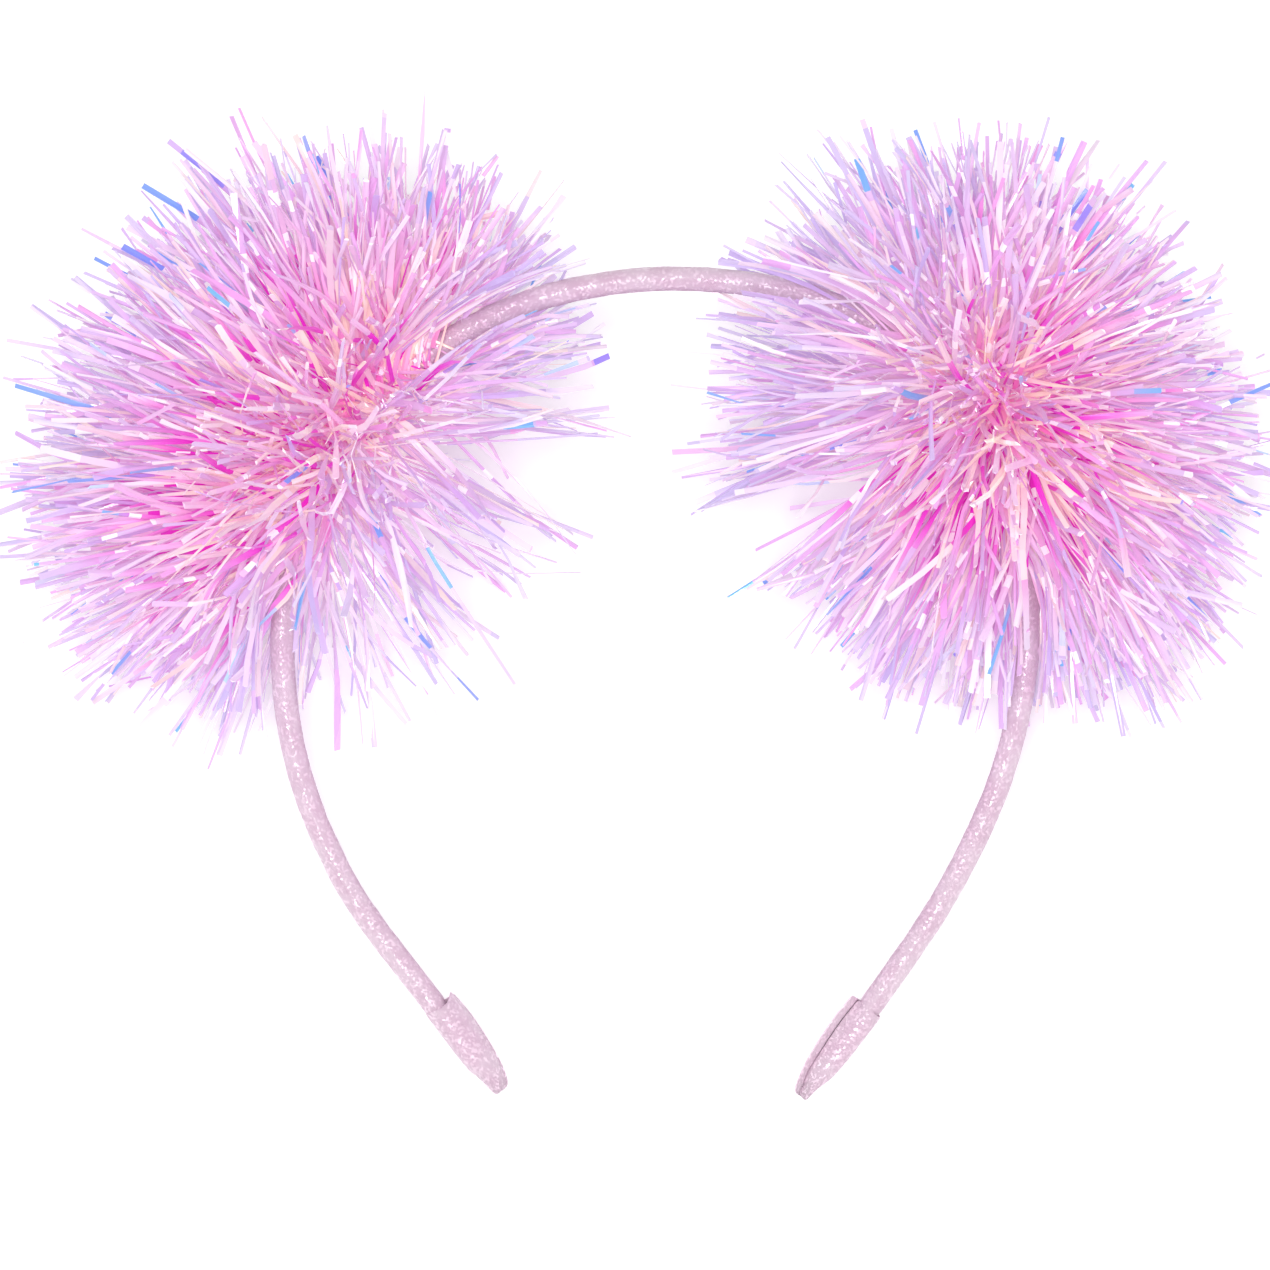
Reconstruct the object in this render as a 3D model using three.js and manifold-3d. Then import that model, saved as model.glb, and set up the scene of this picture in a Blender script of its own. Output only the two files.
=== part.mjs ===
// Pompom headband: a cloth-wrapped arch with a folded cloth sleeve on each end and a tinsel
// pompom tied round each shoulder. It lies on a table, on the two pompoms and the two sleeve ends.
// Millimetres, +Z up. +X runs across the arch, +Y from the sleeve ends towards the crown.

import * as THREE from "three";
import { mergeVertices } from "three/addons/utils/BufferGeometryUtils.js";
import Module from "manifold-3d";

const wasm = await Module();
wasm.setup();

// The band's centreline, in the plane of the arch. "up" is the distance from the sleeve ends
// towards the crown, and "left" and "right" are how far each leg stands from the middle.
const CROWN = { up: 135, right: 3 };
const LEG_STATIONS = [
  { up: 131.7, left: 18.5, right: 27.5 },
  { up: 124, left: 34.5, right: 41 },
  { up: 112, left: 48.5, right: 52.5 },
  { up: 96, left: 57.4, right: 60 },
  { up: 76, left: 60.8, right: 62.2 },
  { up: 55, left: 58.4, right: 58.5 },
  { up: 35, left: 50.2, right: 49.6 },
  { up: 16, left: 36.4, right: 37 },
  { up: 6.9, left: 29.5, right: 29.9 },
];
const BAND_HALF_RADIAL = 2;
const BAND_HALF_DEPTH = 2.5;
const BAND_SIDES = 10;
const BAND_STEPS = 50;

// Each end of the band thins to a tongue that the sleeve covers.
const TONGUE_LENGTH = 10;
const TONGUE_ROOT = 2;
const TONGUE_HALF_RADIAL = 0.8;
const TONGUE_HALF_DEPTH = 1.1;
const TONGUE_SIDES = 8;
const TONGUE_STEPS = 3;

// Sleeve sections, "along" as a share of its length from the mouth to the end. "inner" and "outer"
// are its reaches towards and away from the middle of the arch, and "half" is half its depth.
const SLEEVE_STATIONS = [
  { along: 0, inner: 3.7, outer: 2.15, half: 2.9 },
  { along: 0.14, inner: 4, outer: 2.2, half: 2.8 },
  { along: 0.3, inner: 4.1, outer: 2.2, half: 2.7 },
  { along: 0.54, inner: 3.8, outer: 2.15, half: 2.5 },
  { along: 0.79, inner: 3.2, outer: 1.45, half: 1.8 },
  { along: 0.94, inner: 2.5, outer: 1.1, half: 1.35 },
  { along: 1, inner: 1.4, outer: 0.7, half: 1.2 },
];
// The right sleeve is turned about its leg, so that its seam faces up.
const SLEEVE_SIDES = {
  left: { length: 17.6, twist: -6 },
  right: { length: 18.6, twist: 30 },
};
// One layer of a sleeve, from the fold at its outer edge to the seam at its inner edge: "across"
// is a share of the width, and "depth" a share of the half depth.
const SLEEVE_LAYER = [
  { across: 0.05, depth: 0.5 },
  { across: 0.17, depth: 0.86 },
  { across: 0.35, depth: 1 },
  { across: 0.6, depth: 0.9 },
  { across: 0.82, depth: 0.62 },
];
const SEAM_LIP = 1.05;
const SEAM_LIP_SHARE = 0.85;
const SEAM_SLIT_HALF = 0.18;
const SEAM_SLIT_DEPTH = 1;
const SEAM_SLIT_SHARE = 0.2;
const SLEEVE_WALL = 1;
const POCKET_SHARE = 0.62;
const POCKET_INNER_WALL = 1.7;
const POCKET_SIDES = 8;

// Pompoms: strips of film, fused to a head that grips the band.
const POMPOM_UP = 108.5;
const POMPOM_RADIUS = 50;
const POMPOM_DEPTH_SHARE = 0.9;
// How far the middle of the ball stands outside the band, and the seed of its strips.
const POMPOM_SIDES = {
  left: { outside: 4, seed: 11 },
  right: { outside: -1, seed: 29 },
};
const HEAD_ALONG_BAND = 17;
const HEAD_ACROSS_BAND = 12.5;
const HEAD_DETAIL = 1;
const STRIP_COUNT = 180;
const STRIP_LENGTH_SHARES = { shortest: 0.84, longest: 1.08 };
const STRIP_BEND = 6;
const STRIP_JITTER = 0.1;
// A strip's section is a shallow triangle, a film with a crease along its middle.
const STRIP_STATIONS = [
  { along: 0.17, width: 0.9, crease: 0.6 },
  { along: 0.62, width: 3.8, crease: 1.2 },
  { along: 1, width: 2.6, crease: 0.8 },
];
const STRIP_WIDEST = 3.8;
const STRIP_SHARES_BEYOND_HEAD = [0.4, 0.6, 0.8, 1];

const FIT_GAP = 0.3;
const ARCH_SAMPLES = 400;

// How it lies: heights above the table of the pompoms' tied middles and of the sleeve ends.
const POMPOM_REST_HEIGHT = 41;
const SLEEVE_END_REST_HEIGHT = 0.5;
const STRIP_TIP_REST_HEIGHT = 0.4;
const TABLE_CUT_SIZE = 400;

const cloth = new THREE.MeshStandardMaterial({ color: 0xe9cfe0, roughness: 0.45, metalness: 0.15 });
const film = new THREE.MeshStandardMaterial({ color: 0xe8a9dd, roughness: 0.2, metalness: 0.3 });

// A repeatable series of numbers from 0 to 1.
function seededRandom(seed) {
  let state = seed;
  return () => {
    state = (state + 0x6d2b79f5) | 0;
    let mixed = Math.imul(state ^ (state >>> 15), 1 | state);
    mixed = (mixed + Math.imul(mixed ^ (mixed >>> 7), 61 | mixed)) ^ mixed;
    return ((mixed ^ (mixed >>> 14)) >>> 0) / 4294967296;
  };
}

// A closed skin over outlines that all have the same count of points, counter-clockwise about the
// way that they follow each other. place(outline number, point) puts a point in space.
function skin(outlines, place) {
  const count = outlines[0].length;
  const corners = outlines.flatMap((outline, row) => outline.map((point) => place(row, point)));
  const index = [];
  for (let row = 0; row + 1 < outlines.length; row++) {
    for (let i = 0; i < count; i++) {
      const here = row * count + i;
      const next = row * count + ((i + 1) % count);
      index.push(here, next, next + count, here, next + count, here + count);
    }
  }
  for (const [a, b, c] of THREE.ShapeUtils.triangulateShape(outlines[0], [])) {
    index.push(a, c, b);
  }
  const lastRow = (outlines.length - 1) * count;
  for (const triangle of THREE.ShapeUtils.triangulateShape(outlines.at(-1), [])) {
    index.push(...triangle.map((i) => i + lastRow));
  }
  return new THREE.BufferGeometry().setFromPoints(corners).setIndex(index);
}

function solidOf(geometry) {
  const bare = geometry.clone();
  bare.deleteAttribute("normal");
  bare.deleteAttribute("uv");
  const merged = mergeVertices(bare);
  return new wasm.Manifold(
    new wasm.Mesh({
      numProp: 3,
      vertProperties: new Float32Array(merged.attributes.position.array),
      triVerts: new Uint32Array(merged.index.array),
    }),
  );
}

function meshOf(name, solid, material) {
  const { vertProperties, triVerts } = solid.getMesh();
  const geometry = new THREE.BufferGeometry()
    .setAttribute("position", new THREE.BufferAttribute(vertProperties, 3))
    .setIndex(new THREE.BufferAttribute(triVerts, 1));
  geometry.computeVertexNormals();
  const mesh = new THREE.Mesh(geometry, material);
  mesh.name = name;
  return mesh;
}

function ellipse(halfX, halfY, sides) {
  return Array.from({ length: sides }, (_, i) => {
    const angle = (2 * Math.PI * (i + 0.5)) / sides;
    return new THREE.Vector2(halfX * Math.cos(angle), halfY * Math.sin(angle));
  });
}

// The arch's centreline, from the left tongue over the crown to the right tongue.
function archCurve() {
  const left = LEG_STATIONS.map((row) => new THREE.Vector3(-row.left, row.up, 0)).reverse();
  const right = LEG_STATIONS.map((row) => new THREE.Vector3(row.right, row.up, 0));
  const crown = new THREE.Vector3(CROWN.right, CROWN.up, 0);
  return new THREE.CatmullRomCurve3([...left, crown, ...right], false, "centripetal");
}

const arch = archCurve();
const archLength = arch.getLength();
const archShares = Array.from({ length: ARCH_SAMPLES + 1 }, (_, i) => i / ARCH_SAMPLES);
const archPoints = archShares.map((share) => arch.getPointAt(share));
const archNormal = new THREE.Vector3(0, 0, 1);

// The point, the way along the arch, and the way out of the arch at a share of its length.
function archFrame(share) {
  const point = arch.getPointAt(share);
  const along = arch.getTangentAt(share);
  const out = new THREE.Vector3().crossVectors(archNormal, along);
  return { point, along, out };
}

// A bar of one oval section along the arch, between two shares of its length.
function archBar(from, to, halfRadial, halfDepth, sides, steps) {
  const stretch = Array.from({ length: steps + 1 }, (_, i) =>
    arch.getPointAt(THREE.MathUtils.lerp(from, to, i / steps)),
  );
  const section = new THREE.Shape().absellipse(0, 0, halfDepth, halfRadial, 0, 2 * Math.PI);
  const bar = new THREE.ExtrudeGeometry(section, {
    steps,
    curveSegments: sides / 2,
    extrudePath: new THREE.CatmullRomCurve3(stretch),
  });
  return solidOf(bar);
}

// The wrapped bar stops just short of the sleeves' mouths, and its tongues go on into them.
function bandSolid() {
  const wrapEnd = (TONGUE_LENGTH + FIT_GAP) / archLength;
  const rootEnd = wrapEnd + TONGUE_ROOT / archLength;
  const tongue = (from, to) =>
    archBar(from, to, TONGUE_HALF_RADIAL, TONGUE_HALF_DEPTH, TONGUE_SIDES, TONGUE_STEPS);
  return archBar(wrapEnd, 1 - wrapEnd, BAND_HALF_RADIAL, BAND_HALF_DEPTH, BAND_SIDES, BAND_STEPS)
    .add(tongue(0, rootEnd))
    .add(tongue(1 - rootEnd, 1));
}

// The middle of a sleeve's mouth, and the ways along the sleeve, to its seam and through it.
function sleeveFrame(side) {
  const share = TONGUE_LENGTH / archLength;
  const { point, along, out } = archFrame(side === "left" ? share : 1 - share);
  const onwards = along.clone().multiplyScalar(side === "left" ? -1 : 1);
  const twist = THREE.MathUtils.degToRad(SLEEVE_SIDES[side].twist);
  const toSeam = out.clone().multiplyScalar(-Math.cos(twist));
  toSeam.addScaledVector(archNormal, Math.sin(twist));
  const through = new THREE.Vector3().crossVectors(onwards, toSeam);
  return { point, onwards, toSeam, through };
}

// One section of a sleeve, with the fold at -outer and the two lips of the seam at +inner.
function sleeveOutline({ inner, outer, half }) {
  const width = inner + outer;
  const lip = Math.min(SEAM_LIP, half * SEAM_LIP_SHARE);
  const slit = Math.min(SEAM_SLIT_DEPTH, width * SEAM_SLIT_SHARE);
  const upper = SLEEVE_LAYER.map(
    ({ across, depth }) => new THREE.Vector2(-outer + across * width, half * depth),
  );
  upper.at(-1).y = Math.max(upper.at(-1).y, lip);
  const lower = upper.map(({ x, y }) => new THREE.Vector2(x, -y));
  return [
    new THREE.Vector2(-outer, 0),
    ...lower,
    new THREE.Vector2(inner, -lip),
    new THREE.Vector2(inner, -SEAM_SLIT_HALF),
    new THREE.Vector2(inner - slit, 0),
    new THREE.Vector2(inner, SEAM_SLIT_HALF),
    new THREE.Vector2(inner, lip),
    ...upper.reverse(),
  ];
}

// The pocket that holds the tongue, open at the sleeve's mouth.
function pocketOutline({ inner, half }) {
  const toFold = TONGUE_HALF_RADIAL + FIT_GAP;
  const toSeam = inner - POCKET_INNER_WALL;
  const middle = (toSeam - toFold) / 2;
  return ellipse((toSeam + toFold) / 2, half - SLEEVE_WALL, POCKET_SIDES).map(
    ({ x, y }) => new THREE.Vector2(x + middle, y),
  );
}

function sleeveSolid(side) {
  const { point, onwards, toSeam, through } = sleeveFrame(side);
  const { length } = SLEEVE_SIDES[side];
  const placeOn = (stations) => (row, { x, y }) =>
    point
      .clone()
      .addScaledVector(onwards, stations[row].along * length)
      .addScaledVector(toSeam, x)
      .addScaledVector(through, y);
  const outside = skin(SLEEVE_STATIONS.map(sleeveOutline), placeOn(SLEEVE_STATIONS));

  const pocketStations = SLEEVE_STATIONS.filter(({ along }) => along < POCKET_SHARE);
  pocketStations.unshift({ ...pocketStations[0], along: -FIT_GAP / length });
  pocketStations.push({ ...pocketStations.at(-1), along: POCKET_SHARE });
  const pocket = skin(pocketStations.map(pocketOutline), placeOn(pocketStations));
  return solidOf(outside).subtract(solidOf(pocket));
}

// The tilt and the height at which the pompoms and the sleeve ends touch the table together.
function lyingPlace() {
  const { point, onwards } = sleeveFrame("left");
  const sleeveEndUp = point.y + onwards.y * SLEEVE_SIDES.left.length;
  const rise = POMPOM_REST_HEIGHT - SLEEVE_END_REST_HEIGHT;
  const tilt = Math.asin(rise / (POMPOM_UP - sleeveEndUp));
  const height = POMPOM_REST_HEIGHT - POMPOM_UP * Math.sin(tilt);
  const turn = new THREE.Matrix4().makeRotationX(tilt);
  return new THREE.Matrix4().makeTranslation(0, 0, height).multiply(turn);
}

const lyingMatrix = lyingPlace();
const tableNormal = new THREE.Vector3(0, 0, 1).transformDirection(lyingMatrix.clone().invert());

// A strip that would go through the table bends until its tip lies on it.
function liftOntoTable(tip) {
  const height = tip.clone().applyMatrix4(lyingMatrix).z;
  return tip.addScaledVector(tableNormal, Math.max(0, STRIP_TIP_REST_HEIGHT - height));
}

// The share of the arch's length at which one leg passes a height.
function shareAtHeight(up, side) {
  const leg = archShares.filter((share) => (side === "left" ? share < 0.5 : share > 0.5));
  const miss = (share) => Math.abs(arch.getPointAt(share).y - up);
  return leg.reduce((best, share) => (miss(share) < miss(best) ? share : best));
}

function distanceToArch(point) {
  return Math.min(...archPoints.map((archPoint) => archPoint.distanceTo(point)));
}

// One strip from near the head's middle to its tip, bowed to one side.
function stripSolid(root, tip, bow, roll) {
  const along = tip.clone().sub(root).normalize();
  const sideways = new THREE.Vector3(1, 0, 0).cross(along).normalize().applyAxisAngle(along, roll);
  const facing = new THREE.Vector3().crossVectors(along, sideways);
  const outlines = STRIP_STATIONS.map(({ width, crease }) => [
    new THREE.Vector2(-width / 2, 0),
    new THREE.Vector2(width / 2, 0),
    new THREE.Vector2(0, crease),
  ]);
  const place = (row, { x, y }) => {
    const share = STRIP_STATIONS[row].along;
    return root
      .clone()
      .lerp(tip, share)
      .addScaledVector(bow, share - share * share)
      .addScaledVector(sideways, x)
      .addScaledVector(facing, y);
  };
  return solidOf(skin(outlines, place));
}

// Strips point evenly all round the head, on a golden spiral with a little jitter. Those that
// would run along the band are left out, as the band takes up their room.
function pompomSolid(side) {
  const { point: tie, along: bandWay } = archFrame(shareAtHeight(POMPOM_UP, side));
  const { outside, seed } = POMPOM_SIDES[side];
  const middle = tie.clone();
  middle.x += side === "left" ? -outside : outside;
  const random = seededRandom(seed);
  const spread = (size) => (random() * 2 - 1) * size;
  const scatter = (size) => new THREE.Vector3(spread(size), spread(size), spread(size));
  const goldenAngle = Math.PI * (3 - Math.sqrt(5));
  const clearance = BAND_HALF_DEPTH + STRIP_WIDEST / 2 + FIT_GAP;

  const alongBand = new THREE.Quaternion().setFromUnitVectors(new THREE.Vector3(0, 1, 0), bandWay);
  const head = new THREE.IcosahedronGeometry(1, HEAD_DETAIL)
    .scale(HEAD_ACROSS_BAND, HEAD_ALONG_BAND, HEAD_ACROSS_BAND)
    .applyQuaternion(alongBand)
    .translate(tie.x, tie.y, tie.z);
  let pompom = solidOf(head);

  for (let i = 0; i < STRIP_COUNT; i++) {
    const rise = 1 - (2 * (i + 0.5)) / STRIP_COUNT;
    const ring = Math.sqrt(1 - rise * rise);
    const turn = i * goldenAngle;
    const way = new THREE.Vector3(ring * Math.cos(turn), ring * Math.sin(turn), rise)
      .add(scatter(STRIP_JITTER))
      .normalize();
    const { shortest, longest } = STRIP_LENGTH_SHARES;
    const length = POMPOM_RADIUS * THREE.MathUtils.lerp(shortest, longest, random());
    const reach = way.clone().multiplyScalar(length);
    reach.z *= POMPOM_DEPTH_SHARE;
    const tip = liftOntoTable(middle.clone().add(reach));
    const rootShift = way.dot(bandWay) * (HEAD_ALONG_BAND - HEAD_ACROSS_BAND);
    const root = tie.clone().addScaledVector(bandWay, rootShift);
    const bow = scatter(STRIP_BEND);
    const roll = random() * Math.PI;
    const open = STRIP_SHARES_BEYOND_HEAD.map((share) => root.clone().lerp(tip, share));
    if (open.some((point) => distanceToArch(point) < clearance)) continue;
    pompom = pompom.add(stripSolid(root, tip, bow, roll));
  }

  const tunnel = archBar(
    0,
    1,
    BAND_HALF_RADIAL + FIT_GAP,
    BAND_HALF_DEPTH + FIT_GAP,
    BAND_SIDES,
    BAND_STEPS,
  );
  return pompom.subtract(tunnel);
}

// What lies under the table's surface is trimmed: the sleeves' cloth is flattened there, and the
// strips' bent tips end flush with it.
function onTable(solid) {
  const table = new THREE.BoxGeometry(TABLE_CUT_SIZE, TABLE_CUT_SIZE, TABLE_CUT_SIZE)
    .translate(0, 0, -TABLE_CUT_SIZE / 2)
    .applyMatrix4(lyingMatrix.clone().invert());
  return solid.subtract(solidOf(table));
}

const lying = new THREE.Group();
lying.applyMatrix4(lyingMatrix);
lying.add(
  meshOf("band", bandSolid(), cloth),
  meshOf("sleeve_left", onTable(sleeveSolid("left")), cloth),
  meshOf("sleeve_right", onTable(sleeveSolid("right")), cloth),
  meshOf("pompom_left", onTable(pompomSolid("left")), film),
  meshOf("pompom_right", onTable(pompomSolid("right")), film),
);

// The origin is on the table, under the middle of the whole headband.
const reach = new THREE.Box3().setFromObject(lying, true);
lying.position.x -= (reach.min.x + reach.max.x) / 2;
lying.position.y -= (reach.min.y + reach.max.y) / 2;

const headband = new THREE.Group();
headband.add(lying);

export default headband;
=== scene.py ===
# %% [markdown]
# A pompom headband is a thin arch wrapped in pale pink shimmer cloth. A ball of iridescent film
# strips is tied round each of its shoulders, and a folded cloth sleeve covers each of its ends.
# This one lies on a table, on its two pompoms and the ends of its sleeves.
#
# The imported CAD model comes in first, as a frame that nothing moves. Its box is kept, because the
# dressed headband has to stay about as large as the solids are.

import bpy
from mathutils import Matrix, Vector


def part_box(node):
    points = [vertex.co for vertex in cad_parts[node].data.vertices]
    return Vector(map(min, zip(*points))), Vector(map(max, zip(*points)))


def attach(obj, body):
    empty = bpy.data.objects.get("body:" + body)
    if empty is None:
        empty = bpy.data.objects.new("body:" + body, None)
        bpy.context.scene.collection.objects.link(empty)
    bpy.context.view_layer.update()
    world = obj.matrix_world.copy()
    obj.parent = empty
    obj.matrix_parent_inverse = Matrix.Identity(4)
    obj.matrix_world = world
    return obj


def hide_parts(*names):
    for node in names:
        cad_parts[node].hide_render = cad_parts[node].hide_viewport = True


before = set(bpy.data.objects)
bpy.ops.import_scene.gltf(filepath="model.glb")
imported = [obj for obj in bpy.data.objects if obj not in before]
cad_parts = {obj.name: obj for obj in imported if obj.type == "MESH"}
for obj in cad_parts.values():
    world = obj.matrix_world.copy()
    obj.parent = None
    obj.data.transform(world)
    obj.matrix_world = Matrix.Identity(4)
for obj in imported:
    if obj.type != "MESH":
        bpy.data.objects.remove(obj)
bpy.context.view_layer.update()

# %% [markdown]
# The band, the ties of the pompoms and the sleeves all follow one line, the middle of the band.
# A Blender curve could go through its stations, but each type of curve passes between them in its
# own way. The solids use a centripetal Catmull-Rom curve, so the same formula is written out here.
# The line then runs through the middle of the band, with nothing left to fit by eye.

# %% The stations of the arch
import math

import bpy
import numpy as np
from mathutils import Matrix, Vector

MM = 0.001
CROWN = {"up": 135.0, "right": 3.0}
# Height above the ends of the arch, and how far each leg stands from the middle, in millimetres.
LEG_STATIONS = [
    {"up": 131.7, "left": 18.5, "right": 27.5},
    {"up": 124.0, "left": 34.5, "right": 41.0},
    {"up": 112.0, "left": 48.5, "right": 52.5},
    {"up": 96.0, "left": 57.4, "right": 60.0},
    {"up": 76.0, "left": 60.8, "right": 62.2},
    {"up": 55.0, "left": 58.4, "right": 58.5},
    {"up": 35.0, "left": 50.2, "right": 49.6},
    {"up": 16.0, "left": 36.4, "right": 37.0},
    {"up": 6.9, "left": 29.5, "right": 29.9},
]
left_leg = [Vector((-row["left"], row["up"], 0)) for row in reversed(LEG_STATIONS)]
right_leg = [Vector((row["right"], row["up"], 0)) for row in LEG_STATIONS]
stations = left_leg + [Vector((CROWN["right"], CROWN["up"], 0))] + right_leg
print("stations of the arch:", len(stations))


# %% A smooth line through the stations
STEPS_BETWEEN_STATIONS = 24


def smooth_line(points, steps):
    """Points along a centripetal Catmull-Rom curve through the given ones."""
    padded = [2 * points[0] - points[1], *points, 2 * points[-1] - points[-2]]
    line = [points[0]]
    for before, start, end, after in zip(padded, padded[1:], padded[2:], padded[3:]):
        gap_before = math.sqrt((start - before).length)
        gap = math.sqrt((end - start).length)
        gap_after = math.sqrt((after - end).length)
        straight = (end - start) / gap
        leave = (start - before) / gap_before - (end - before) / (gap_before + gap) + straight
        arrive = straight - (after - start) / (gap + gap_after) + (after - end) / gap_after
        for step in range(1, steps + 1):
            t = step / steps
            from_start = (1 + 2 * t) * (1 - t) ** 2 * start + t * (1 - t) ** 2 * gap * leave
            to_end = t * t * (3 - 2 * t) * end + t * t * (t - 1) * gap * arrive
            line.append(from_start + to_end)
    return line


arch_line = smooth_line(stations, STEPS_BETWEEN_STATIONS)
arch_steps = [(b - a).length for a, b in zip(arch_line, arch_line[1:])]
arch_distances = np.concatenate([[0.0], np.cumsum(arch_steps)])
arch_length = float(arch_distances[-1])
print("length of the arch in millimetres:", round(arch_length, 1))


# %% Walking along the arch
def on_arch(distance):
    """The point on the arch at a distance from its left end, and the way along it there."""
    place = Vector([float(np.interp(distance, arch_distances, axis)) for axis in zip(*arch_line)])
    near = int(np.clip(np.searchsorted(arch_distances, distance), 1, len(arch_line) - 2))
    along = (arch_line[near + 1] - arch_line[near - 1]).normalized()
    return place, along


def distance_at_height(up, side):
    """How far along the arch one of its legs passes a height."""
    heights = [point.y for point in arch_line]
    half = len(heights) // 2
    if side == "left":
        return float(np.interp(up, heights[:half], arch_distances[:half]))
    return float(np.interp(up, heights[:half:-1], arch_distances[:half:-1]))


# %% [markdown]
# The arch doesn't lie flat. The pompoms hold its shoulders up and the ends of its sleeves touch the
# table, so its plane is tilted. The tilt follows from the heights at which the solids rest, and the
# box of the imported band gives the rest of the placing.

# %% The place of the arch on the table
BAND_HALF_RADIAL = 2.0
BAND_HALF_DEPTH = 2.5
TONGUE_LENGTH = 10.0
TONGUE_HALF_RADIAL = 0.8
TONGUE_HALF_DEPTH = 1.1
SLEEVE_LENGTH = {"left": 17.6, "right": 18.6}
POMPOM_UP = 108.5
POMPOM_REST_HEIGHT = 41.0
SLEEVE_END_REST_HEIGHT = 0.5

left_mouth, left_way = on_arch(TONGUE_LENGTH)
sleeve_end_up = (left_mouth - SLEEVE_LENGTH["left"] * left_way).y
tilt = math.asin((POMPOM_REST_HEIGHT - SLEEVE_END_REST_HEIGHT) / (POMPOM_UP - sleeve_end_up))
turn = Matrix.Rotation(tilt, 3, "X")
facing = turn @ Vector((0, 0, 1))
print("tilt of the arch in degrees:", round(math.degrees(tilt), 2))

lows, highs = [math.inf] * 3, [-math.inf] * 3
for distance in np.linspace(0, arch_length, 400):
    point, along = on_arch(distance)
    outwards = turn @ Vector((-along.y, along.x, 0))
    in_tongue = min(distance, arch_length - distance) < TONGUE_LENGTH
    half_radial = TONGUE_HALF_RADIAL if in_tongue else BAND_HALF_RADIAL
    half_depth = TONGUE_HALF_DEPTH if in_tongue else BAND_HALF_DEPTH
    for axis in range(3):
        reach = math.hypot(half_radial * outwards[axis], half_depth * facing[axis])
        middle = (turn @ point)[axis]
        lows[axis] = min(lows[axis], middle - reach)
        highs[axis] = max(highs[axis], middle + reach)
own_middle = Vector([(low + high) / 2 for low, high in zip(lows, highs)])
band_low, band_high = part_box("band")
shift = (band_low + band_high) / 2 - own_middle * MM


def to_table(point):
    """A point in the plane of the arch, in millimetres, as its place on the table, in metres."""
    return turn @ (Vector(point) * MM) + shift


print("the crown lies at", [round(value, 4) for value in to_table((CROWN["right"], CROWN["up"], 0))])

# %% [markdown]
# The camera looks straight at the plane of the arch, as in the photograph, from well above the
# table. It goes in early, so that each later piece can be judged through it. A long lens from
# 0.9 m keeps the pompoms round, and the width of the picture sets its focal length.

# %% The camera
PICTURE_MIDDLE = (-2.64, 76.2, 0)
PICTURE_WIDTH = 209.6
CAMERA_DISTANCE = 900.0


def shown(name, data):
    """A new object in the scene."""
    made = bpy.data.objects.new(name, data)
    bpy.context.scene.collection.objects.link(made)
    return made


lens = bpy.data.cameras.new("camera")
lens.sensor_width = 36.0
lens.lens = lens.sensor_width * CAMERA_DISTANCE / PICTURE_WIDTH
lens.clip_start = 0.01
camera = shown("camera", lens)
camera.matrix_world = turn.to_4x4()
camera.location = to_table(PICTURE_MIDDLE) + facing * CAMERA_DISTANCE * MM
bpy.context.scene.camera = camera
print("focal length in millimetres:", round(lens.lens, 1))

# %% [markdown]
# The photograph is bright and nearly without shadow, and round things in it are palest along their
# middle, so its light came from beside the camera. A white world lights everything a little. A
# large soft lamp beside the camera does the rest, and two weak ones at the sides give the film and
# the cloth something more to reflect. The floor is a plain pale sheet with a faint glow, as of a
# light table, so that the gaps between the strips look white. The Standard view transform keeps
# pale colours pale.

# %% Soft light
WORLD_STRENGTH = 0.48
LAMPS = {
    "lamp_above": {"place": (-0.03, -0.41, 1.03), "size": 0.35, "watts": 8.8},
    "lamp_left": {"place": (-1.1, 0.2, 0.75), "size": 0.4, "watts": 1.6},
    "lamp_right": {"place": (1.1, 0.3, 0.7), "size": 0.4, "watts": 1.6},
}

world = bpy.data.worlds.new("studio")
bpy.context.scene.world = world
world.use_nodes = True
world.node_tree.nodes["Background"].inputs["Color"].default_value = (1, 1, 1, 1)
world.node_tree.nodes["Background"].inputs["Strength"].default_value = WORLD_STRENGTH
bpy.context.scene.view_settings.view_transform = "Standard"


def soft_lamp(name, place, size, watts):
    """A square lamp that faces the headband."""
    light = bpy.data.lights.new(name, "AREA")
    light.size = size
    light.energy = watts
    lamp = shown(name, light)
    lamp.location = place
    lamp.rotation_euler = Vector(place).to_track_quat("Z", "Y").to_euler()


for lamp_name, lamp_facts in LAMPS.items():
    soft_lamp(lamp_name, **lamp_facts)
print("lamps:", list(LAMPS))

# %% The floor
FLOOR_SIZE = 6.0
FLOOR_COLOUR = (0.9, 0.9, 0.9, 1)
FLOOR_LOOKS = {
    "Base Color": FLOOR_COLOUR,
    "Emission Color": FLOOR_COLOUR,
    "Emission Strength": 0.26,
    "Roughness": 0.9,
    "Specular IOR Level": 0.0,
}

bpy.ops.mesh.primitive_plane_add(size=FLOOR_SIZE)
floor = bpy.context.object
floor.name = "floor"
floor_paint = bpy.data.materials.new("pale_floor")
floor_paint.use_nodes = True
floor_face = floor_paint.node_tree.nodes["Principled BSDF"]
for input_name, value in FLOOR_LOOKS.items():
    floor_face.inputs[input_name].default_value = value
floor_paint.cycles.emission_sampling = "NONE"
floor.data.materials.append(floor_paint)
print("floor in metres:", list(floor.dimensions))

# %% [markdown]
# Both node editors work the same way: a node's output feeds another node's input. Written as bare
# calls, even a short sum takes many lines. A small class that wraps one output lets Python's own
# operators add the Math nodes, and one method adds any other node.

# %% Nodes as expressions
def fill(node, inputs):
    """Sets the inputs of a node. A wire is linked, and anything else is a fixed value."""
    for key, value in inputs.items():
        if isinstance(value, Wire):
            value.tree.links.new(value.socket, node.inputs[key])
        else:
            node.inputs[key].default_value = value


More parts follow.
